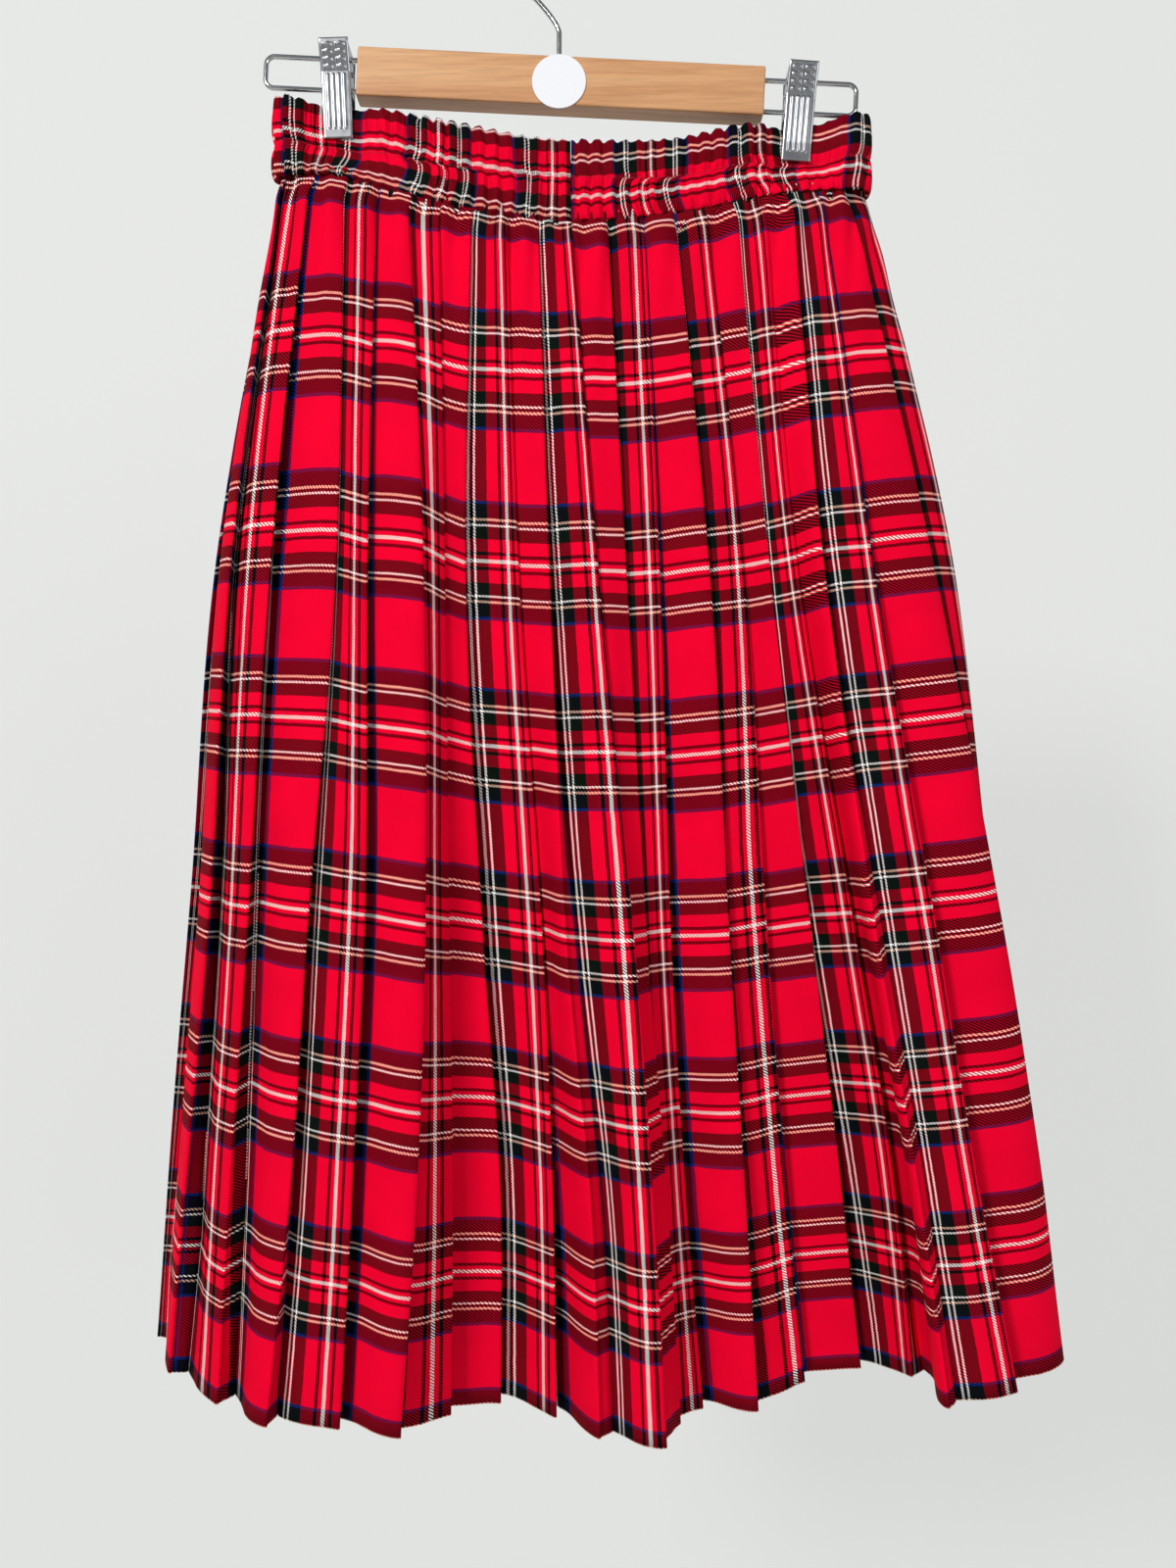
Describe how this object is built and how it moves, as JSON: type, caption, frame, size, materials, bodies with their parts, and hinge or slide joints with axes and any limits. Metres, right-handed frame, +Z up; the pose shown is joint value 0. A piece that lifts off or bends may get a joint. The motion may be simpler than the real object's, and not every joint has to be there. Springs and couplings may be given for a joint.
{
  "type": "pleated midi skirt on a clip hanger",
  "caption": "Knife-pleated midi skirt in red checked cloth with an elastic waistband, held by the clips of a wooden hanger.",
  "frame": {"origin": "the bearing point inside the hanger hook's bowl, where it sits on a rail", "axes": "+Z up along the hanging skirt, +X to the viewer's right across its width, the front of the skirt faces -Y"},
  "size_m": [0.5551, 0.1517, 0.8786],
  "materials": {
    "skirt_cloth": "soft twill in a traditional check: red ground with black, blue, white and cream lines",
    "band_cloth": "the same check, gathered over two rows of elastic",
    "bar_wood": "satin lacquered light brown wood",
    "wire_metal": "bright chromed wire",
    "clip_metal": "pressed sheet, bright chromed",
    "spring_metal": "plain spring steel",
    "disc_paper": "blank white paper disc"
  },
  "bodies": {
    "root": {"skirt_front": "skirt_cloth", "skirt_back": "skirt_cloth", "waistband": "band_cloth", "hanger_bar": "bar_wood", "wire_loop_left": "wire_metal", "wire_loop_right": "wire_metal", "hanger_hook": "wire_metal", "hanger_disc": "disc_paper", "clip_left_front_jaw": "clip_metal", "clip_left_back_jaw": "clip_metal", "clip_left_pin": "clip_metal", "clip_left_spring": "spring_metal", "clip_right_front_jaw": "clip_metal", "clip_right_back_jaw": "clip_metal", "clip_right_pin": "clip_metal", "clip_right_spring": "spring_metal"}
  },
  "joints": []
}
